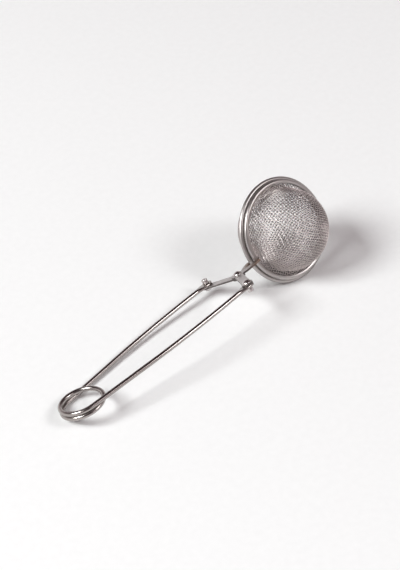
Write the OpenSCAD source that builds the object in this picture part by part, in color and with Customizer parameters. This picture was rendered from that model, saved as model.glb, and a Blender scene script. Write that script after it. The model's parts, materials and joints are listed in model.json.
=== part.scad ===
// Squeeze tea-ball tongs: a woven-mesh ball in two halves on a sprung wire handle.
// Closing the handle swings the halves apart; letting go shuts them again.
// The pieces are drawn in a working frame with the lever pivot on the Z axis, the ball
// on +X and the coil on -X. at_rest() then lays the finished tongs on the table.

/* [Ball] */
// Outside diameter of the larger, back rim
rim_d = 52; // [44:0.5:64]
// How much smaller the front rim is across
rim_step = 2.8; // [1.6:0.1:4]
// Radial width of each rim
rim_w = 2.1; // [1.9:0.1:3.2]
// Thickness of each rim along the ball's axis
rim_t = 2.2; // [2:0.1:3]
// Edge radius of the rims
rim_edge = 0.8; // [0.3:0.05:0.9]
// Depth of the folded channel that grips the mesh
channel_depth = 1.3; // [0.8:0.1:1.4]
// Thickness of the sheet that stands for the woven mesh
mesh_t = 0.6; // [0.5:0.05:0.8]
// Width of the flat skirt of mesh between the dome and its rim
skirt_w = 2; // [0.6:0.1:3]
// Height of the straight wall between the skirt and the round of the front dome
front_wall = 1.4; // [0.1:0.1:3]
// Height of the straight wall between the skirt and the round of the back dome
back_wall = 0.2; // [0.1:0.1:3]
// Gap between the two rims when the ball is shut
shut_gap = 0.1; // [0.05:0.05:0.4]

/* [Levers] */
// Distance from the lever pivot to the back rim
rim_away = 9.3; // [8:0.1:16]
// Height of the ball's middle above the levers
ball_rise = 4; // [0:0.1:6]
// Offset of the shut line to the front of the pivot
shut_offset = 0.45; // [0:0.05:1]
// Distance of the handle rivets behind the pivot
rivet_back = 7.9; // [6:0.1:10]
// Distance of each handle rivet to the side of the pivot
rivet_side = 16.7; // [14:0.1:20]
// Width of the lever strip
strip_w = 4.4; // [3.6:0.1:5.4]
// Thickness of the lever strip
strip_t = 0.9; // [0.6:0.1:1.4]
// Radius of the round boss at the pivot
pivot_boss_r = 3.4; // [3:0.1:4.2]
// Radius of the rounded end at a handle rivet
rivet_boss_r = 2.8; // [2.5:0.1:3.4]
// Width of the tongue that is welded to a rim
tongue_w = 3; // [2.4:0.1:3.8]
// How far the tongue reaches in over its rim
tongue_lap = 1.7; // [1:0.1:3.4]

/* [Rivets] */
// Diameter of each rivet's shank
shank_d = 1.8; // [1.4:0.1:1.9]
// Diameter of each domed rivet head
head_d = 4.4; // [3.6:0.1:5.2]
// Height of each domed rivet head
head_h = 1.5; // [0.8:0.1:2]
// Diameter of the stub end of a handle rivet
stub_d = 3; // [2.8:0.1:3.6]
// Length of the stub end of a handle rivet
stub_l = 2.4; // [1:0.1:4]
// Height of the flattened end of the pivot rivet
upset_h = 0.7; // [0.4:0.1:1.2]

/* [Handle] */
// Diameter of the spring wire
wire_d = 2.3; // [1.8:0.1:2.6]
// Distance from the lever pivot to the middle of the coil
coil_back = 104; // [85:1:125]
// Radius of the coil at the middle of the wire
coil_r = 10.2; // [8:0.1:13]
// Gap between the coil's turns
turn_gap = 0.15; // [0.1:0.05:0.5]
// Angle by which each arm leaves the coil outside the straight line to its eye
arm_flare = 3.4; // [2.4:0.1:3.8]
// Angle through which each arm then bows back
arm_bow = 9.4; // [8.8:0.1:12]
// Radius of the flattened eye at the end of each arm
eye_r = 2.8; // [2.5:0.1:3.4]
// Thickness of the flattened eye
eye_t = 1.2; // [0.9:0.1:1.6]
// Width of the flattened stretch behind the eye
neck_w = 4.2; // [3:0.1:5]
// Length of the taper from round wire to flat eye
neck_l = 7; // [5.5:0.1:9]

/* [Fits] */
// Gap between flat faces that slide on each other
slide_gap = 0.06; // [0.03:0.01:0.12]
// Radial clearance of a shank in the hole that turns on it
run_clear = 0.06; // [0.03:0.01:0.1]
// Radial clearance of the back rivet in its slack eye
slack_clear = 0.5; // [0.4:0.05:0.6]
// Gap between pieces that are set or welded together
set_gap = 0.02; // [0.01:0.01:0.05]
// Gap between each end of the coil and its arm
coil_gap = 0.1; // [0.06:0.01:0.2]

/* [Hidden] */
$fn = 96;

// The ball, side = -1 for the front half and +1 for the back half
function rim_outer(side) = rim_d / 2 - (side < 0 ? rim_step / 2 : 0);
function rim_inner(side) = rim_outer(side) - rim_w;
function dome_outer(side) = rim_inner(side) - skirt_w;
shut_y = -shut_offset;
ball_reach = rim_d / 2 + rim_away;
rim_near = shut_gap / 2;
rim_mid = rim_near + rim_t / 2;
rim_far = rim_near + rim_t;
channel_t = mesh_t + 2 * set_gap;
function dome_wall(side) = side < 0 ? front_wall : back_wall;
function dome_y(side) = rim_mid + dome_wall(side);

// The levers: the tongue leaves its boss, climbs to the ball and lies along the rim's face
lever_z = slide_gap / 2;
bend_x = pivot_boss_r + 0.3;
climb = atan(ball_rise / (ball_reach - bend_x));
function tongue_seat(side) = rim_far - side * shut_offset + set_gap;
function tongue_end(side) = ball_reach - rim_outer(side) + tongue_lap;
shank_r = shank_d / 2;

// The wire handle, drawn for the back side (+Y) and mirrored for the front
wire_r = wire_d / 2;
eye_z = lever_z + eye_t / 2;
coil_pitch = wire_d + turn_gap;
arm_splay = arm_flare + atan((rivet_side - coil_r) / (coil_back - rivet_back));
coil_sweep = 540 - 2 * arm_splay;
coil_rise = coil_pitch * coil_sweep / 360;
coil_half_y = coil_r * cos(arm_splay);
coil_lean = atan(coil_rise / 2 / coil_half_y) + asin(eye_z / norm([coil_half_y, coil_rise / 2]));
arm_start = [-coil_back - coil_r * sin(arm_splay),
    coil_half_y * cos(coil_lean) + coil_rise / 2 * sin(coil_lean)];
arm_end_angle = arm_splay - arm_bow;
arm_end = [-rivet_back - neck_l * cos(arm_end_angle), rivet_side - neck_l * sin(arm_end_angle)];
// A straight run and then an arc join arm_start to arm_end: two unknown lengths
run_dir = [cos(arm_splay), sin(arm_splay)];
arc_chord = [sin(arm_splay) - sin(arm_end_angle), cos(arm_end_angle) - cos(arm_splay)];
arm_span = arm_end - arm_start;
arm_det = run_dir.x * arc_chord.y - run_dir.y * arc_chord.x;
straight_l = (arm_span.x * arc_chord.y - arm_span.y * arc_chord.x) / arm_det;
arc_r = (run_dir.x * arm_span.y - run_dir.y * arm_span.x) / arm_det;
arc_start = arm_start + straight_l * run_dir;
arc_centre = arc_start + arc_r * [sin(arm_splay), -cos(arm_splay)];

// Centre line of the coil, from the front arm's end (t = 0) to the back arm's (t = 1)
function coil_local(t) = let (a = -90 - arm_splay - coil_sweep * t)
    [coil_r * cos(a), coil_r * sin(a), coil_rise * (0.5 - t)];
function lean_x(p) = [p.x, p.y * cos(coil_lean) - p.z * sin(coil_lean),
    p.y * sin(coil_lean) + p.z * cos(coil_lean)];
function coil_point(t) = [-coil_back, 0, 0] + lean_x(coil_local(t));

// How the tongs lie: on the back rim, the back dome and the coil, so three heights agree.
// up is the table's upward direction in the working frame.
rim_rest_r = rim_outer(1) - rim_edge;
rim_rest_dy = rim_far - rim_edge - dome_y(1);
roll_sin = let (reach = norm([rim_rest_r, rim_rest_dy]))
    sin(acos((dome_outer(1) - rim_edge) / reach) + atan2(rim_rest_dy, rim_rest_r));
dome_mid = [ball_reach, shut_y + dome_y(1), ball_rise];
wire_low = concat([for (t = [0:1/96:1]) coil_point(t)],
    [for (a = [arm_end_angle:0.2:arm_splay]) [arc_centre.x - arc_r * sin(a),
        arc_centre.y + arc_r * cos(a), eye_z]]);
function up_from(nx) = [nx, -roll_sin, sqrt(1 - nx * nx - roll_sin * roll_sin)];
function wire_drop(up) = wire_r + max([for (p = wire_low) -(up * p)]);
function ball_drop(up) = dome_outer(1) - up * dome_mid;
function settle(nx, n) = n == 0 ? nx :
    settle(nx - (wire_drop(up_from(nx)) - ball_drop(up_from(nx))) / (ball_reach + coil_back), n - 1);
up = up_from(settle(0.08, 8));
rest_pitch = asin(up.x);
rest_roll = asin(roll_sin / cos(rest_pitch));

// The box of the resting tongs: how far the rims and the wire reach along a direction
function far_of_rim(side, d) = d * [ball_reach, shut_y + side * rim_mid, ball_rise]
    + (rim_outer(side) - rim_edge) * norm([d.x, d.z]) + rim_edge + (rim_t / 2 - rim_edge) * abs(d.y);
function far_of_dome(side, d) = d * [ball_reach, shut_y + side * dome_y(side), ball_rise]
    + dome_outer(side);
function far_of_wire(d) = wire_r + max([for (p = wire_low) d * p]);
function far(d) = max(far_of_rim(1, d), far_of_rim(-1, d), far_of_dome(1, d), far_of_dome(-1, d),
    far_of_wire(d));
along = [cos(rest_pitch), sin(rest_pitch) * sin(rest_roll), -sin(rest_pitch) * cos(rest_roll)];
across = [0, cos(rest_roll), sin(rest_roll)];
box_mid = [(far(along) - far(-along)) / 2, (far(across) - far(-across)) / 2];
table_drop = ball_drop(up);

module at_rest() translate([-box_mid.x, -box_mid.y, table_drop])
    rotate([-rest_roll, -rest_pitch, 0]) children();

module on_side(side) mirror([0, side < 0 ? 1 : 0, 0]) children();

// Turns the ball's axis from Z to the side given, with the shut line at z = 0
module ball_half(side) translate([ball_reach, shut_y, ball_rise])
    rotate([-side * 90, 0, 0]) children();

// Section of a rim: a folded band with round edges, and the channel that grips the mesh
function corner(x, y, from) = [for (a = [0:15:90]) [x + rim_edge * cos(from + a),
    y + rim_edge * sin(from + a)]];
module rim_section(side) difference() {
    polygon(concat(
        corner(rim_outer(side) - rim_edge, rim_far - rim_edge, 0),
        corner(rim_inner(side) + rim_edge, rim_far - rim_edge, 90),
        corner(rim_inner(side) + rim_edge, rim_near + rim_edge, 180),
        corner(rim_outer(side) - rim_edge, rim_near + rim_edge, 270)));
    translate([rim_inner(side) - 1, rim_mid - channel_t / 2]) square([channel_depth + 1, channel_t]);
}

module rim(side) color("gainsboro") ball_half(side) rotate_extrude($fn = 144) rim_section(side);

// Section of a mesh half: a quarter circle, a straight wall and a flange in the rim's channel
module mesh_section(side) {
    translate([0, dome_wall(side)]) difference() {
        intersection() {
            circle(r = dome_outer(side), $fn = 128);
            square(rim_d);
        }
        circle(r = dome_outer(side) - mesh_t, $fn = 128);
    }
    translate([dome_outer(side) - mesh_t, -mesh_t / 2]) square([mesh_t, dome_wall(side) + mesh_t / 2]);
    translate([dome_outer(side) - mesh_t, -mesh_t / 2])
        square([rim_inner(side) + channel_depth - set_gap - dome_outer(side) + mesh_t, mesh_t]);
}

module mesh_half(side) color("silver") ball_half(side) translate([0, 0, rim_mid])
    rotate_extrude($fn = 144) mesh_section(side);

// Plan of the flat part of a lever: pivot boss, strip and rounded end (back side)
module strip_plan() {
    run = norm([rivet_back, rivet_side]);
    circle(r = pivot_boss_r);
    translate([-rivet_back, rivet_side]) circle(r = rivet_boss_r);
    rotate(90 + atan(rivet_back / rivet_side)) translate([0, -strip_w / 2]) square([run, strip_w]);
}

// Plan of the tongue (drawn towards +Y): out from the boss, then along the rim's face
module tongue_plan(side) {
    root_x = bend_x - 2.2;
    near_x = rim_away + 0.1;
    end_x = tongue_end(side);
    seat_y = tongue_seat(side);
    far_y = seat_y + tongue_w;
    polygon([[root_x, -0.7], [bend_x, 0.1], [near_x, seat_y], [end_x, seat_y],
        [end_x + 0.6, seat_y + 0.7], [end_x - 0.4, far_y - 0.3], [near_x - 0.8, far_y - 0.5],
        [root_x, tongue_w - 0.4]]);
}

// z_low is the underside of the flat part; the tongue climbs from bend_x on
module lever(side, z_low, hole_r, rivet_hole_r) color("lightgray") difference() {
    on_side(side) union() {
        translate([0, 0, z_low]) linear_extrude(strip_t) {
            strip_plan();
            intersection() {
                tongue_plan(side);
                translate([0, -strip_w]) square([bend_x, 4 * strip_w]);
            }
        }
        translate([bend_x, 0, z_low]) rotate([0, -climb, 0]) translate([-bend_x, 0, 0])
            linear_extrude(strip_t) intersection() {
                tongue_plan(side);
                translate([bend_x - 0.05, -strip_w]) square([ball_reach, 4 * strip_w]);
            }
    }
    translate([0, 0, z_low - 1]) cylinder(r = hole_r, h = strip_t + 2);
    translate([-rivet_back, side * rivet_side, z_low - 1])
        cylinder(r = rivet_hole_r, h = strip_t + 2);
}

// Domed head standing on z = 0
module head() {
    dome_r = (head_d * head_d / 4 + head_h * head_h) / (2 * head_h);
    intersection() {
        translate([0, 0, head_h - dome_r]) sphere(r = dome_r);
        cylinder(d = head_d + 1, h = head_h + 1);
    }
}

module pivot_rivet() color("whitesmoke") {
    top = lever_z + strip_t + set_gap;
    low = -lever_z - strip_t - slide_gap;
    translate([0, 0, top]) head();
    translate([0, 0, low - upset_h / 2]) cylinder(r = shank_r, h = top - low + upset_h);
    translate([0, 0, low]) mirror([0, 0, 1]) cylinder(d1 = head_d - 0.8, d2 = stub_d, h = upset_h);
}

// Drawn for the front arm: head on top of its lever, stub end below the wire's eye
module arm_rivet() color("whitesmoke") {
    top = lever_z + strip_t + set_gap;
    low = lever_z - slide_gap - eye_t - slide_gap;
    translate([0, 0, top]) head();
    translate([0, 0, low - stub_l / 2]) cylinder(r = shank_r, h = top - low + stub_l);
    translate([0, 0, low - stub_l]) cylinder(d = stub_d, h = stub_l);
}

module front_arm_rivet() translate([-rivet_back, -rivet_side, 0]) arm_rivet();
module back_arm_rivet() translate([-rivet_back, rivet_side, 0]) rotate([180, 0, 0]) arm_rivet();

// One arm (back side, at z = 0): straight run, bow, taper and flattened eye with its hole
module arm(hole_r) color("silver") difference() {
    union() {
        translate(arm_start) rotate([0, 0, arm_splay]) rotate([0, 90, 0]) translate([0, 0, coil_gap])
            cylinder(r = wire_r + set_gap, h = straight_l + wire_r / 2 - coil_gap, $fn = 48);
        translate(arc_centre) rotate([0, 0, 90 + arm_end_angle]) rotate_extrude(angle = arm_bow)
            translate([arc_r, 0]) circle(r = wire_r, $fn = 48);
        translate(arm_end) rotate([0, 0, arm_end_angle]) hull() {
            rotate([0, 90, 0]) cylinder(r = wire_r + set_gap, h = 0.6, center = true, $fn = 32);
            translate([neck_l - eye_r, 0]) cube([0.4, neck_w, eye_t], center = true);
        }
        translate([-rivet_back, rivet_side]) cylinder(r = eye_r, h = eye_t, center = true);
    }
    translate([-rivet_back, rivet_side]) cylinder(r = hole_r, h = 2 * wire_d, center = true);
}

module front_arm() translate([0, 0, -eye_z]) on_side(-1) arm(shank_r + run_clear);
module back_arm() translate([0, 0, eye_z]) arm(shank_r + slack_clear);

// Coil: a ring of wire_sides points at each step along the centre line
wire_sides = 14;
coil_steps = 72;
function ring(t) = let (a = -90 - arm_splay - coil_sweep * t, out = [cos(a), sin(a), 0],
        slope = atan(coil_pitch / (2 * PI * coil_r)),
        lift = [-sin(a) * sin(slope), cos(a) * sin(slope), cos(slope)], c = coil_local(t))
    [for (k = [0:wire_sides - 1]) let (b = 360 * k / wire_sides)
        [-coil_back, 0, 0] + lean_x(c + wire_r * (cos(b) * out + sin(b) * lift))];
module handle_coil() color("silver") polyhedron(
    points = [for (i = [0:coil_steps]) each ring(i / coil_steps)],
    faces = concat([[for (k = [0:wire_sides - 1]) k]],
        [for (i = [0:coil_steps - 1], k = [0:wire_sides - 1]) let (m = (k + 1) % wire_sides)
            [i * wire_sides + k, (i + 1) * wire_sides + k, (i + 1) * wire_sides + m,
                i * wire_sides + m]],
        [[for (k = [wire_sides - 1:-1:0]) coil_steps * wire_sides + k]]));

module front_lever() lever(-1, lever_z, shank_r + set_gap, shank_r + set_gap);
module back_lever() lever(1, -lever_z - strip_t, shank_r + run_clear, shank_r + set_gap);
module front_rim() rim(-1);
module back_rim() rim(1);
module front_mesh() mesh_half(-1);
module back_mesh() mesh_half(1);

at_rest() handle_coil();
at_rest() front_arm();
at_rest() back_arm();
at_rest() front_lever();
at_rest() back_lever();
at_rest() pivot_rivet();
at_rest() front_arm_rivet();
at_rest() back_arm_rivet();
at_rest() front_rim();
at_rest() back_rim();
at_rest() front_mesh();
at_rest() back_mesh();
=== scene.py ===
"""Squeeze tea-ball tongs: spring wire handle, two riveted levers and a woven-mesh ball.

Pieces are modelled in millimetres in the CAD's working frame, which the joints give: the
lever pivot is the origin, the ball lies on +X and the handle's coil on -X, and the rivets
stand along Z. The front half of the ball faces -Y. Each piece is then laid in the row frame,
which is in metres.
"""
import json
import math

import bmesh
import bpy
from mathutils import Matrix, Vector


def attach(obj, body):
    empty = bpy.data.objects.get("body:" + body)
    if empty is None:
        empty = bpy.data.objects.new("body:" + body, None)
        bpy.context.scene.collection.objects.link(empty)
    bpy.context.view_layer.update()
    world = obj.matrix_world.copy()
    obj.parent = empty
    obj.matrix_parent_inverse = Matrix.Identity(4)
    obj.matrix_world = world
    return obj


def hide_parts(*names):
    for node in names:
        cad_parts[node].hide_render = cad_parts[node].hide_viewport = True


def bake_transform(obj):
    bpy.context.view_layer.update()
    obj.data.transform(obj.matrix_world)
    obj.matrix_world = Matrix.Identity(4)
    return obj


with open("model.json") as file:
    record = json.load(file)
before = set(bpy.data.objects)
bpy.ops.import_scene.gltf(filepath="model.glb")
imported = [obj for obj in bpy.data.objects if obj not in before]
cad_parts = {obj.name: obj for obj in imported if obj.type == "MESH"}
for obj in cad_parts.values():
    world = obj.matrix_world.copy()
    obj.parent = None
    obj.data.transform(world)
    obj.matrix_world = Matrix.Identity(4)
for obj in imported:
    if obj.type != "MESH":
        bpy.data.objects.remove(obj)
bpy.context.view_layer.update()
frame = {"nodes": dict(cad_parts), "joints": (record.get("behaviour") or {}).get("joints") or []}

FRONT = -1
BACK = 1
HALF = {FRONT: "front", BACK: "back"}  # how the names of each half's nodes and pieces begin

# ---------------------------------------------------------------- sizes of the real pieces, mm
WIRE_D = 2.3  # the handle's spring wire
COIL_R = 10.2  # the coil, at the middle of the wire
TURN_GAP = 0.15  # between the coil's turns
ARM_FLARE = 3.4  # degrees by which an arm leaves the coil outside the straight line to its eye
ARM_BOW = 9.4  # degrees through which it then bows back
NECK_L = 7.0  # an arm's flattened end, from round wire to the eye's middle
EYE_R = 2.8  # the flattened eye
EYE_T = 1.2
EYE_LEAD = 1.2  # the end is at its flattest from this far before the eye's middle
EYE_TIP = 0.05  # half width that is left at the eye's far end
SLIDE_GAP = 0.06  # between flat faces that slide on each other
SET_GAP = 0.02  # between pieces that are set together
STRIP_T = 0.9  # the levers' strip
STRIP_ROUND = 0.15  # radius of its edges
SHANK_R = 0.9
HEAD_R = 2.2
HEAD_H = 1.5
HEAD_FOOT = 0.25  # height of a head's edge below its dome
HEAD_ROUND = 0.15  # radius under that edge
STUB_R = 1.5
STUB_L = 2.4
STUB_ROUND = 0.3
UPSET_R = 1.8  # the pivot rivet's hammered end
UPSET_H = 0.7
RIM_W = 2.1
LIP_R = 0.16  # edge radius of the rim's folded lips
LIP_W = 0.45  # the stretch over which the lips pinch in
DOME_WALL = {FRONT: 1.4, BACK: 0.2}  # straight wall between a half's skirt and its round dome
SKIRT_BEND = 0.8  # radius of the bend between wall and skirt
CLOTH_TUCK = 0.7  # how far the cloth runs into the rim's fold
CLOTH_PITCH = 1.35
CLOTH_WIRE_R = 0.19
CLOTH_WAVE = 0.11  # how far a wire swings off the cloth's middle
CLOTH_TURN = {FRONT: 33, BACK: -30}  # degrees round the ball's axis
CLOTH_CROSSING = {FRONT: 111, BACK: 103}  # degrees between the wires on the dome's top

# ---------------------------------------------------------------- the working frame
joints = {joint["name"]: joint for joint in frame["joints"]}


def joint_spot(name):
    return Vector(joints[name]["pos_m"])


pivot_spot = joint_spot("back_swing")
rivet_axis = Vector(joints["back_swing"]["axis"]).normalized()
handle_axis = (pivot_spot - joint_spot("squeeze")).normalized()
side_axis = rivet_axis.cross(handle_axis)

to_row = Matrix((handle_axis, side_axis, rivet_axis)).transposed().to_4x4()
to_row.translation = pivot_spot
to_row = to_row @ Matrix.Scale(0.001, 4)
to_working = to_row.inverted()


def span(node):
    """Lowest and highest corners of a CAD node in the working frame."""
    points = [to_working @ v.co for v in frame["nodes"][node].data.vertices]
    low = Vector([min(p[i] for p in points) for i in range(3)])
    high = Vector([max(p[i] for p in points) for i in range(3)])
    return low, high


# ---------------------------------------------------------------- sizes from the frame, mm
coil_middle = to_working @ joint_spot("squeeze")
front_rivet = to_working @ joint_spot("front_swing")
rivet_side = -front_rivet.y
back_rivet = Vector((front_rivet.x, rivet_side, 0))

rim_low, rim_high = {}, {}
for side, half in HALF.items():
    rim_low[side], rim_high[side] = span(half + "_rim")
ball_middle = (rim_low[BACK] + rim_high[BACK]) / 2
ball_middle.y = (rim_high[FRONT].y + rim_low[BACK].y) / 2
rim_thick = rim_high[BACK].y - rim_low[BACK].y
rim_mid = rim_low[BACK].y - ball_middle.y + rim_thick / 2


def rim_outer(side):
    return (rim_high[side].x - rim_low[side].x) / 2


def dome_outer(side):
    low, high = span(HALF[side] + "_mesh")
    top = low.y if side == FRONT else high.y
    return abs(top - ball_middle.y) - rim_mid - DOME_WALL[side]


# ---------------------------------------------------------------- mesh helpers
def add_object(name, data):
    item = bpy.data.objects.new(name, data)
    bpy.context.scene.collection.objects.link(item)
    return item


def new_piece(name, vertices, faces):
    """A mesh object from working-frame points, laid in the row frame."""
    mesh = bpy.data.meshes.new(name)
    mesh.from_pydata([to_row @ v for v in vertices], [], faces)
    mesh.shade_smooth()
    return add_object(name, mesh)


def apply_modifiers(item):
    """Leaves the item with the mesh that its modifiers make."""
    graph = bpy.context.evaluated_depsgraph_get()
    mesh = bpy.data.meshes.new_from_object(item.evaluated_get(graph))
    item.modifiers.clear()
    item.data = mesh


def sharpen(item, degrees):
    item.data.set_sharp_from_angle(angle=math.radians(degrees))


def heading(points, k):
    """The direction of a line of points at point k."""
    return (points[min(k + 1, len(points) - 1)] - points[max(k - 1, 0)]).normalized()


def tube_faces(first, rings, sides):
    """Faces of a closed tube, whose rings of points follow each other from point first."""
    faces = []
    for k in range(rings - 1):
        for m in range(sides):
            a, b = first + k * sides + m, first + k * sides + (m + 1) % sides
            faces.append((a, b, b + sides, a + sides))
    end = first + rings * sides
    faces.append(tuple(range(first + sides - 1, first - 1, -1)))
    faces.append(tuple(range(end - sides, end)))
    return faces


SAME_POINT = 1e-6  # mm


def lathe(outline, steps, place):
    """Turns an outline of (radius, height) points about place's Z axis.

    An outline that starts on the axis is open between its two ends, which both lie there. Any
    other outline is a closed loop. Points that repeat the one before them are left out.
    """
    outline = [p for k, p in enumerate(outline) if math.dist(p, outline[k - 1]) > SAME_POINT]
    vertices, faces, rings = [], [], []
    for radius, height in outline:
        first = len(vertices)
        count = 1 if radius == 0 else steps
        for k in range(count):
            turn = 2 * math.pi * k / steps
            spot = Vector((radius * math.cos(turn), radius * math.sin(turn), height))
            vertices.append(place @ spot)
        rings.append((first, count))
    closed = outline[0][0] > 0
    pairs = list(zip(rings, rings[1:])) + ([(rings[-1], rings[0])] if closed else [])
    for (a, a_count), (b, b_count) in pairs:
        for k in range(steps):
            m = (k + 1) % steps
            if a_count == 1:
                faces.append((a, b + m, b + k))
            elif b_count == 1:
                faces.append((a + k, a + m, b))
            else:
                faces.append((a + k, a + m, b + m, b + k))
    return vertices, faces


def arc(middle, radius, start, end, count):
    """Points on an arc in an outline, angles in degrees from the radius axis."""
    points = []
    for k in range(count + 1):
        angle = math.radians(start + (end - start) * k / count)
        points.append((middle[0] + radius * math.cos(angle), middle[1] + radius * math.sin(angle)))
    return points


def finish_piece(item, body, slot, made, *nodes):
    """Gives a piece its material, the body it rides on and the nodes it replaces; the argument slot
    is not used.
    """
    item.data.materials.clear()
    item.data.materials.append(made.owner)
    if body:
        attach(item, body)
    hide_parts(*nodes)


# ---------------------------------------------------------------- materials
NOISE_SPAN = (0.3, 0.7)  # where most of a noise's values lie


class Nodes:
    """The node tree of a material or a world, with short calls for what the looks share."""

    def __init__(self, owner, shader="Principled BSDF"):
        owner.use_nodes = True
        self.owner = owner
        self.tree = owner.node_tree
        self.shader = self.tree.nodes[shader]

    def add(self, kind, **settings):
        node = self.tree.nodes.new(kind)
        for key, value in settings.items():
            setattr(node, key, value)
        return node

    def link(self, source, target):
        self.tree.links.new(source, target)

    def feed(self, value, target):
        """Joins an input to another node's output, or sets it to a constant."""
        if isinstance(value, bpy.types.NodeSocket):
            self.link(value, target)
        else:
            target.default_value = value

    def place(self, scale):
        """Object coordinates, stretched by scale."""
        coordinates = self.add("ShaderNodeTexCoord")
        mapping = self.add("ShaderNodeMapping")
        mapping.inputs["Scale"].default_value = scale
        self.link(coordinates.outputs["Object"], mapping.inputs["Vector"])
        return mapping.outputs["Vector"]

    def noise(self, vector, scale, detail):
        node = self.add("ShaderNodeTexNoise")
        node.inputs["Scale"].default_value = scale
        node.inputs["Detail"].default_value = detail
        self.link(vector, node.inputs["Vector"])
        return node.outputs["Fac"]

    def ramp(self, value, stops):
        """A colour ramp; stops are (position, colour) pairs."""
        node = self.add("ShaderNodeValToRGB")
        while len(node.color_ramp.elements) < len(stops):
            node.color_ramp.elements.new(0.5)
        for element, (position, colour) in zip(node.color_ramp.elements, stops):
            element.position = position
            element.color = (*colour, 1)
        self.link(value, node.inputs["Fac"])
        return node.outputs["Color"]

    def remap(self, value, source, target, kind="SMOOTHSTEP"):
        """Takes a value from one range to another, and holds it there past the ends."""
        node = self.add("ShaderNodeMapRange", interpolation_type=kind)
        node.inputs["From Min"].default_value, node.inputs["From Max"].default_value = source
        node.inputs["To Min"].default_value, node.inputs["To Max"].default_value = target
        self.link(value, node.inputs["Value"])
        return node.outputs["Result"]

    def cloud(self, scale, dark, light):
        """Gives the shader a cloudy colour; a larger scale makes smaller clouds."""
        clouds = self.noise(self.place((scale, scale, scale)), 1, 3)
        colour = self.ramp(clouds, list(zip(NOISE_SPAN, (dark, light))))
        self.link(colour, self.shader.inputs["Base Color"])

    def tint(self, colour, amount, kind="MIX"):
        """Lays a colour over the one that the shader has so far."""
        mix = self.add("ShaderNodeMix", data_type="RGBA", blend_type=kind)
        bare = self.shader.inputs["Base Color"].links[0].from_socket
        self.feed(amount, mix.inputs["Factor"])
        self.link(bare, mix.inputs["A"])
        self.feed(colour, mix.inputs["B"])
        self.link(mix.outputs["Result"], self.shader.inputs["Base Color"])

    def bump(self, height, strength, distance):
        node = self.add("ShaderNodeBump")
        node.inputs["Strength"].default_value = strength
        node.inputs["Distance"].default_value = distance
        self.link(height, node.inputs["Height"])
        self.link(node.outputs["Normal"], self.shader.inputs["Normal"])


CLOUD_SCALE = 90
EVEN_GRAIN = (300, 300, 300)
DRAWN_GRAIN = (15, 500, 500)  # long streaks along the handle
RELIEF_DEPTH = 0.00001  # metres


def steel(name, dark, light, rough, grain=EVEN_GRAIN, relief=0.05):
    """Bare steel: cloudy colour, grain that varies the gloss, and a fine relief."""
    made = Nodes(bpy.data.materials.new(name))
    made.shader.inputs["Metallic"].default_value = 1
    made.cloud(CLOUD_SCALE, dark, light)
    lines = made.noise(made.place(grain), 2, 2)
    made.link(made.remap(lines, NOISE_SPAN, rough, "LINEAR"), made.shader.inputs["Roughness"])
    made.bump(lines, relief, RELIEF_DEPTH)
    return made


wire_steel = steel("polished_wire", (0.37, 0.338, 0.323), (0.42, 0.388, 0.372), (0.20, 0.24),
                   grain=DRAWN_GRAIN, relief=0.01)
rivet_nickel = steel("nickel_rivet", (0.56, 0.525, 0.515), (0.64, 0.60, 0.59), (0.20, 0.25))
rim_steel = steel("folded_rim", (0.41, 0.382, 0.372), (0.48, 0.45, 0.438), (0.31, 0.36))

# painted shade: the dark colour laid on the strip's side faces
SIDE_SHADE_COLOUR = (0.13, 0.115, 0.11, 1)
HEAT_COLOUR = (0.24, 0.175, 0.14, 1)
HEAT_REACH = 0.006  # metres of strip that a weld browns
HEAT_LAP = 0.001  # metres past the rim's edge where it is brownest


def strip_steel(face, weld):
    """Stamped strip whose flat faces look along face: painted shade on its side faces, brown near the
    weld.
    """
    made = steel("stamped_strip", (0.50, 0.47, 0.462), (0.57, 0.54, 0.53), (0.36, 0.44), relief=0.3)
    shape = made.add("ShaderNodeTexCoord")
    facing = made.add("ShaderNodeVectorMath", operation="DOT_PRODUCT")
    made.link(shape.outputs["Normal"], facing.inputs[0])
    facing.inputs[1].default_value = face
    either_face = made.add("ShaderNodeMath", operation="ABSOLUTE")
    made.link(facing.outputs["Value"], either_face.inputs[0])
    # painted shade: faces that turn away from the flat faces are darkened
    made.tint(SIDE_SHADE_COLOUR, made.remap(either_face.outputs["Value"], (0.35, 0.95), (1, 0)))

    spot = made.add("ShaderNodeSeparateXYZ")
    made.link(made.place((1, 1, 1)), spot.inputs["Vector"])
    heated = (weld - HEAT_REACH, weld + HEAT_LAP)
    made.tint(HEAT_COLOUR, made.remap(spot.outputs["X"], heated, (0, 1)))
    return made


def woven_steel():
    """Cloth wire with painted shade: darker on each wire's inner side and where it passes under
    another, keeping most of its colour on the outer tops.
    """
    made = steel("wire_cloth", (0.80, 0.79, 0.785), (0.97, 0.955, 0.95), (0.30, 0.36))
    wire_shade = made.add("ShaderNodeAttribute", attribute_name="wire_shade")
    # painted shade: each wire darkens towards its inner side and where it passes under another
    painted_wire_shade = made.ramp(wire_shade.outputs["Fac"], [
        (0.2, (0.098, 0.084, 0.082)),
        (0.5, (0.325, 0.292, 0.285)),
        (0.85, (0.86, 0.78, 0.765))])
    made.tint(painted_wire_shade, 1, "MULTIPLY")
    return made


rim_edge = to_row @ Vector((ball_middle.x - rim_outer(BACK), 0, 0))
lever_steel = strip_steel(rivet_axis, rim_edge.x)
cloth_steel = woven_steel()


# ---------------------------------------------------------------- the spring wire
WIRE_SIDES = 32
COIL_STEPS = 120
ROUND, SQUARE = 2, 7  # how square a wire's section is: an ellipse, and a flat tab with round edges

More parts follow.
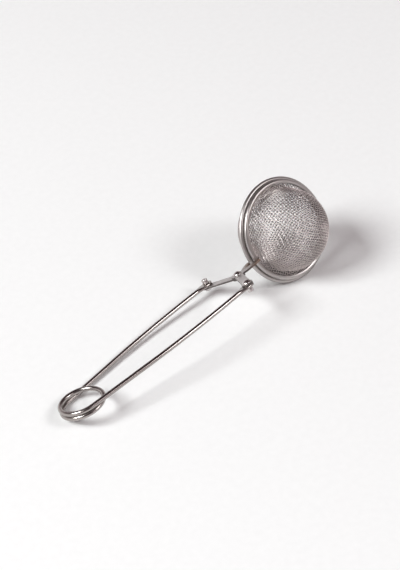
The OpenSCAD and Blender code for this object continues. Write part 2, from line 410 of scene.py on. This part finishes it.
wire_r = WIRE_D / 2
coil_back = -coil_middle.x
eye_z = SLIDE_GAP / 2 + EYE_T / 2
flare = math.radians(ARM_FLARE) + math.atan((rivet_side - COIL_R) / (coil_back + front_rivet.x))
end_angle = flare - math.radians(ARM_BOW)
coil_sweep = 3 * math.pi - 2 * flare
coil_rise = (WIRE_D + TURN_GAP) * coil_sweep / (2 * math.pi)
coil_half_y = COIL_R * math.cos(flare)
coil_lean = math.atan(coil_rise / 2 / coil_half_y)
coil_lean += math.asin(eye_z / math.hypot(coil_half_y, coil_rise / 2))


def coil_point(t):
    """The coil's centre line, from the front arm's end (t = 0) to the back arm's (t = 1)."""
    angle = -math.pi / 2 - flare - coil_sweep * t
    flat = Vector((COIL_R * math.cos(angle), COIL_R * math.sin(angle), coil_rise * (0.5 - t)))
    return coil_middle + Matrix.Rotation(coil_lean, 3, "X") @ flat


def arm_points():
    """The back arm's centre line, straight and then bowed, from the coil to its neck, at z = 0."""
    start = coil_point(1).to_2d()
    end = back_rivet.to_2d() - NECK_L * Vector((math.cos(end_angle), math.sin(end_angle)))
    run = Vector((math.cos(flare), math.sin(flare)))
    chord = Vector((math.sin(flare) - math.sin(end_angle), math.cos(end_angle) - math.cos(flare)))
    gap = end - start
    area = run.x * chord.y - run.y * chord.x
    straight = (gap.x * chord.y - gap.y * chord.x) / area
    radius = (run.x * gap.y - run.y * gap.x) / area
    middle = start + straight * run + radius * Vector((math.sin(flare), -math.cos(flare)))
    points = [start + run * straight * k / 10 for k in range(1, 11)]
    for k in range(1, 21):
        angle = flare + (end_angle - flare) * k / 20
        points.append(middle + radius * Vector((-math.sin(angle), math.cos(angle))))
    return [p.to_3d() for p in points]


def tab_section(along):
    """Half width, half thickness and squareness of the wire, along mm past the eye's middle."""
    flat = min(max((along + NECK_L) / (NECK_L - EYE_LEAD), 0), 1)
    flat = flat * flat * (3 - 2 * flat)
    width = wire_r + (EYE_R - wire_r) * flat
    if along > 0:
        width = math.sqrt(max(EYE_R ** 2 - along ** 2, EYE_TIP ** 2))
    return width, wire_r + (EYE_T / 2 - wire_r) * flat, ROUND + (SQUARE - ROUND) * flat


def wire_ring(middle, ahead, width, thick, square):
    """A ring of points round the wire's centre line: a circle, or a flattened tab's outline."""
    out = Vector((0, 0, 1)).cross(ahead).normalized()
    lift = ahead.cross(out)
    ring = []
    for k in range(WIRE_SIDES):
        angle = 2 * math.pi * k / WIRE_SIDES
        x, y = math.cos(angle), math.sin(angle)
        x = math.copysign(abs(x) ** (2 / square), x)
        y = math.copysign(abs(y) ** (2 / square), y)
        ring.append(middle + width * x * out + thick * y * lift)
    return ring


def spring_wire():
    """The handle's whole wire: front tab, arm, coil, back arm and back tab, in one mesh."""
    plain = (wire_r, wire_r, ROUND)
    neck = [NECK_L * (k / 14 - 1) for k in range(1, 15)]
    tip = [EYE_R * math.sin(math.pi / 2 * k / 10) for k in range(1, 11)]
    run = Vector((math.cos(end_angle), math.sin(end_angle), 0))
    arm = [(p, plain) for p in arm_points()]
    arm += [(back_rivet + run * along, tab_section(along)) for along in neck + tip]
    back = [(Vector((p.x, p.y, eye_z)), section) for p, section in arm]
    front = [(Vector((p.x, -p.y, -eye_z)), section) for p, section in reversed(arm)]
    coil = [(coil_point(k / COIL_STEPS), plain) for k in range(COIL_STEPS + 1)]
    line, sections = zip(*(front + coil + back))
    vertices = []
    for k, section in enumerate(sections):
        vertices += wire_ring(line[k], heading(line, k), *section)
    return new_piece("handle_wire", vertices, tube_faces(0, len(line), WIRE_SIDES))


handle = spring_wire()
sharpen(handle, 40)
finish_piece(handle, None, "wire", wire_steel, "handle_coil", "front_arm", "back_arm")
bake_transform(handle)


# ---------------------------------------------------------------- levers
SLIVER = 0.000115  # metres; edges shorter than this would keep the rounding from spreading
LEFTOVER = 1e-6  # metres; edges shorter than this are left over from the rounding


def softened(node):
    """A copy of a CAD node's shape with its sharp edges rounded."""
    item = add_object(node + "_plate", frame["nodes"][node].data.copy())
    shape = bmesh.new()
    shape.from_mesh(item.data)
    bmesh.ops.remove_doubles(shape, verts=shape.verts, dist=SLIVER)
    bmesh.ops.dissolve_limit(shape, angle_limit=math.radians(1), verts=shape.verts, edges=shape.edges)
    shape.to_mesh(item.data)
    shape.free()
    bevel = item.modifiers.new("edges", "BEVEL")
    bevel.width = STRIP_ROUND / 1000
    bevel.segments = 3
    bevel.limit_method = "ANGLE"
    bevel.angle_limit = math.radians(40)
    apply_modifiers(item)
    shape = bmesh.new()
    shape.from_mesh(item.data)
    bmesh.ops.remove_doubles(shape, verts=shape.verts, dist=LEFTOVER)
    bmesh.ops.dissolve_degenerate(shape, edges=shape.edges, dist=LEFTOVER)
    shape.to_mesh(item.data)
    shape.free()
    item.data.shade_smooth()
    sharpen(item, 35)
    return item


for half in HALF.values():
    lever = half + "_lever"
    finish_piece(softened(lever), half + "_half", "levers", lever_steel, lever)


# ---------------------------------------------------------------- rivets
def head_outline(low):
    """A domed head's outline, from its top on the axis to its foot at height low."""
    rise = HEAD_H - HEAD_FOOT
    ball = (HEAD_R ** 2 + rise ** 2) / (2 * rise)
    reach = math.degrees(math.asin(HEAD_R / ball))
    dome = arc((0, low + HEAD_H - ball), ball, 90 - reach / 10, 90 - reach, 9)
    foot = arc((HEAD_R - HEAD_ROUND, low + HEAD_ROUND), HEAD_ROUND, 0, -90, 4)
    return [(0, low + HEAD_H)] + dome + foot


def stub_outline(top):
    """A turned stub end's outline below the height top: rounded edges and a shallow dimple."""
    low = top - STUB_L
    edge = STUB_R - STUB_ROUND
    points = [(edge, top)]
    points += arc((edge, top - STUB_ROUND), STUB_ROUND, 90, 0, 4)
    points += arc((edge, low + STUB_ROUND), STUB_ROUND, 0, -90, 5)
    return points + [(0.45 * STUB_R, low + 0.02), (0.25 * STUB_R, low + 0.14), (0, low + 0.16)]


def upset_outline(top):
    """The outline of a rivet's end that is hammered to a low button below the height top."""
    low = top - UPSET_H
    return [(UPSET_R - 0.05, top), (UPSET_R, top - 0.2), (UPSET_R - 0.1, top - 0.5),
            (UPSET_R - 0.5, low + 0.04), (UPSET_R - 0.8, low), (0, low)]


head_low = SLIDE_GAP / 2 + STRIP_T + SET_GAP
under_eye = -(SLIDE_GAP / 2 + EYE_T + SLIDE_GAP)
under_lever = -(SLIDE_GAP / 2 + STRIP_T + SLIDE_GAP)
turned_over = Matrix.Rotation(math.pi, 4, "X")

for name, body, node, place, shank_low, end_outline in (
        ("front_arm_pin", "front_half", "front_arm_rivet", Matrix.Translation(front_rivet),
         under_eye, stub_outline),
        ("back_arm_pin", "back_half", "back_arm_rivet", Matrix.Translation(back_rivet) @ turned_over,
         under_eye, stub_outline),
        ("pivot_pin", "front_half", "pivot_rivet", Matrix.Identity(4),
         under_lever, upset_outline)):
    outline = head_outline(head_low) + [(SHANK_R, head_low), (SHANK_R, shank_low)]
    outline += end_outline(shank_low)
    pin = new_piece(name, *lathe(outline[::-1], 64, place))
    sharpen(pin, 50)
    finish_piece(pin, body, "rivets", rivet_nickel, node)


# ---------------------------------------------------------------- rims
def half_place(side):
    """Lays a lathe's axis along the ball's axis, with the shut line at height 0."""
    return Matrix.Translation(ball_middle) @ Matrix.Rotation(-side * math.pi / 2, 4, "X")


def rim_outline(side):
    """A strip folded round the cloth's edge: a round outer bead and two lips that pinch in."""
    bead = rim_thick / 2
    lip = rim_outer(side) - RIM_W
    shoulder, pinch = 0.93 * bead, 0.84 * bead
    upper = [(lip + LIP_W, shoulder), (lip + LIP_R, pinch)]
    upper += arc((lip + LIP_R, pinch - LIP_R), LIP_R, 90, 270, 6)
    lower = [(radius, -height) for radius, height in reversed(upper)]
    points = arc((rim_outer(side) - bead, 0), bead, -90, 90, 20) + upper + lower
    return [(radius, rim_mid + height) for radius, height in points]


for side, half in HALF.items():
    band = new_piece(half + "_band", *lathe(rim_outline(side), 192, half_place(side)))
    finish_piece(band, half + "_half", "rims", rim_steel, half + "_rim")


# ---------------------------------------------------------------- woven cloth
CLOTH_SIDES = 6
CLOTH_PARTS = 3  # stretches of wire between two crossings


def cloth_net(step, reach, crossing):
    """Crossings of the cloth's wires as directions from the ball's middle, keyed by wire numbers.

    The two middle wires are great circles that cross at the angle given. Each further crossing
    mirrors the one before it in the plane through its two neighbours, so every cell keeps four
    equal sides and only shears, as wire cloth does when it is pressed into a dome.
    """
    lean = (math.cos(crossing), math.sin(crossing))
    net = {(0, 0): Vector((0, 0, 1))}
    count = int(reach / step) + 1
    for k in range(1, count + 1):
        across, up = math.sin(k * step), math.cos(k * step)
        for sign in (-1, 1):
            net[sign * k, 0] = Vector((sign * across, 0, up))
            net[0, sign * k] = Vector((sign * across * lean[0], sign * across * lean[1], up))
    for sign_a in (-1, 1):
        for sign_b in (-1, 1):
            for a in range(1, count + 1):
                for b in range(1, count + 1):
                    last = net.get((sign_a * (a - 1), sign_b * (b - 1)))
                    one = net.get((sign_a * (a - 1), sign_b * b))
                    two = net.get((sign_a * a, sign_b * (b - 1)))
                    if not (last and one and two):
                        continue
                    mirror = one.cross(two).normalized()
                    spot = last - 2 * last.dot(mirror) * mirror
                    if spot.z > math.cos(reach):
                        net[sign_a * a, sign_b * b] = spot
    return net


class ClothForm:
    """The form that one half's cloth follows: a round dome, a straight wall, a bend, a flat skirt.

    The skirt lies at height 0. A wall shorter than the bend leaves the dome less than a half ball.
    """

    def __init__(self, radius, wall, edge):
        self.radius = radius
        self.wall = wall
        self.straight = max(wall - SKIRT_BEND, 0)
        short = max(SKIRT_BEND - wall, 0)
        self.foot = math.sqrt((radius + SKIRT_BEND) ** 2 - short ** 2)
        self.turn = math.atan2(self.foot, short)
        self.reach = self.turn + (self.straight + SKIRT_BEND * self.turn + edge - self.foot) / radius

    def spot(self, direction):
        """Lays a direction's length of cloth down from the dome's top: its end and normal there."""
        down = math.acos(max(-1, min(1, direction.z)))
        around = Vector((1, 0, 0))
        if down > 1e-6:
            around = Vector((direction.x, direction.y, 0)).normalized()
        if down <= self.turn:
            normal = around * math.sin(down) + Vector((0, 0, math.cos(down)))
            return self.radius * normal + Vector((0, 0, self.wall)), normal
        past = self.radius * (down - self.turn)
        if past < self.straight:
            return self.radius * around + Vector((0, 0, self.wall - past)), around
        past -= self.straight
        if past < SKIRT_BEND * self.turn:
            lean = self.turn - past / SKIRT_BEND
            normal = around * math.sin(lean) + Vector((0, 0, math.cos(lean)))
            return self.foot * around + Vector((0, 0, SKIRT_BEND)) - SKIRT_BEND * normal, normal
        return (self.foot + past - SKIRT_BEND * self.turn) * around, Vector((0, 0, 1))


def cloth_wire(net, keys, family, form):
    """One wire's centre line, the cloth's normals on it, and its swing, from -1 under to 1 over."""
    line, normals, swings = [], [], []
    for k in range((len(keys) - 1) * CLOTH_PARTS + 1):
        whole, part = divmod(k, CLOTH_PARTS)
        here = net[keys[whole]]
        after = net[keys[min(whole + 1, len(keys) - 1)]]
        spot, normal = form.spot(here.lerp(after, part / CLOTH_PARTS).normalized())
        over = 1 if (sum(keys[whole]) + family) % 2 else -1
        swing = over * math.cos(math.pi * part / CLOTH_PARTS)
        line.append(spot + normal * (CLOTH_WAVE * swing))
        normals.append(normal)
        swings.append(swing)
    return line, normals, swings


def woven_half(side):
    """One half's wire cloth: every wire is a thin tube that goes over one and under the next.

    The painted-shade attribute is 1 on top of a wire that passes over another, and 0 below one that
    passes under; lower values are painted darker.
    """
    radius = dome_outer(side) - 2 * CLOTH_WIRE_R
    form = ClothForm(radius, DOME_WALL[side], rim_outer(side) - RIM_W + CLOTH_TUCK)
    net = cloth_net(CLOTH_PITCH / radius, form.reach, math.radians(CLOTH_CROSSING[side]))
    turned = Matrix.Rotation(math.radians(CLOTH_TURN[side]), 4, "Z")
    place = half_place(side) @ Matrix.Translation((0, 0, rim_mid)) @ turned
    count = max(key[0] for key in net)
    numbers = range(-count, count + 1)
    vertices, faces, wire_shades = [], [], []
    for family in (0, 1):
        for wire in numbers:
            keys = [(wire, k) if family else (k, wire) for k in numbers]
            keys = [key for key in keys if key in net]
            if len(keys) < 2:
                continue
            line, normals, swings = cloth_wire(net, keys, family, form)
            faces += tube_faces(len(vertices), len(line), CLOTH_SIDES)
            for k, spot in enumerate(line):
                ahead = heading(line, k)
                out = normals[k].cross(ahead).normalized()
                lift = ahead.cross(out)
                for m in range(CLOTH_SIDES):
                    angle = 2 * math.pi * m / CLOTH_SIDES
                    ring = out * math.cos(angle) + lift * math.sin(angle)
                    vertices.append(place @ (spot + CLOTH_WIRE_R * ring))
                    # painted shade level: high on a wire's outer side and where it passes over, low
                    # on its inner side and beneath
                    wire_shades.append(0.5 + 0.35 * math.sin(angle) + 0.15 * swings[k])
    item = new_piece(HALF[side] + "_cloth", vertices, faces)
    item.data.attributes.new("wire_shade", "FLOAT", "POINT").data.foreach_set("value", wire_shades)
    return item


for side, half in HALF.items():
    finish_piece(woven_half(side), half + "_half", "mesh", cloth_steel, half + "_mesh")


# ---------------------------------------------------------------- floor and sky, metres
FLOOR_HALF = 1.6
SKY = [  # sine of the height above the horizon, colour
    (0.0, (0.84, 0.81, 0.815)),
    (0.15, (0.70, 0.64, 0.65)),
    (0.35, (0.14, 0.10, 0.105)),
    (0.5, (0.065, 0.043, 0.047))]

floor_mesh = bpy.data.meshes.new("floor")
corners = [(FLOOR_HALF * x, FLOOR_HALF * y, 0) for x, y in ((-1, -1), (1, -1), (1, 1), (-1, 1))]
floor_mesh.from_pydata(corners, [], [(0, 1, 2, 3)])
floor = add_object("floor", floor_mesh)
paper = Nodes(bpy.data.materials.new("pale_paper"))
paper.shader.inputs["Roughness"].default_value = 0.9
paper.shader.inputs["Specular IOR Level"].default_value = 0.1
paper.cloud(300, (0.90, 0.90, 0.90), (0.92, 0.92, 0.92))
floor.data.materials.append(paper.owner)

world = bpy.data.worlds.new("studio")
bpy.context.scene.world = world
sky = Nodes(world, "Background")
directions = sky.add("ShaderNodeTexCoord")
parts = sky.add("ShaderNodeSeparateXYZ")
sky.link(directions.outputs["Generated"], parts.inputs["Vector"])
sky.link(sky.ramp(parts.outputs["Z"], SKY), sky.shader.inputs["Color"])

# ---------------------------------------------------------------- lamps, metres
LAMP_REACH = 2.5  # from the ball
COOL = (0.98, 1.01, 1.003)
WARM = (1.0, 0.88, 0.90)


def soft_lamp(name, azimuth, elevation, size, watts, colour):
    """A soft box, wide and high, that faces the ball from a compass direction and height."""
    data = bpy.data.lights.new(name, "AREA")
    data.shape = "RECTANGLE"
    data.size, data.size_y = size
    data.energy = watts
    data.color = colour
    a, e = math.radians(azimuth), math.radians(elevation)
    aim = Vector((math.cos(a) * math.cos(e), math.sin(a) * math.cos(e), math.sin(e)))
    lamp = add_object(name, data)
    lamp.location = to_row @ ball_middle + aim * LAMP_REACH
    lamp.rotation_euler = aim.to_track_quat("Z", "Y").to_euler()


soft_lamp("left_lamp", 161, 42, (1.1, 1.0), 64, COOL)
soft_lamp("right_lamp", -63, 42, (0.8, 0.8), 16, COOL)
soft_lamp("front_lamp", -62, 46, (2.6, 1.1), 10.5, WARM)

# ---------------------------------------------------------------- camera, mm in the working frame
CAMERA_SPOT = Vector((-416.4, -686.7, 254.5))
CAMERA_AIM = Vector((-13.6, 12.6, 4.1))
CAMERA_UP = Vector((0.5495, -0.0175, 0.8353))

camera_data = bpy.data.cameras.new("camera")
camera_data.lens = 111.2
camera_data.sensor_width = 36
camera_data.clip_start = 0.01
camera = add_object("camera", camera_data)
camera_back = (CAMERA_SPOT - CAMERA_AIM).normalized()
camera_right = CAMERA_UP.cross(camera_back).normalized()
camera_axes = Matrix((camera_right, camera_back.cross(camera_right), camera_back)).transposed()
camera.location = to_row @ CAMERA_SPOT
camera.rotation_euler = (to_row.to_3x3().normalized() @ camera_axes).to_euler()
bpy.context.scene.camera = camera
bpy.context.scene.view_settings.view_transform = "Standard"
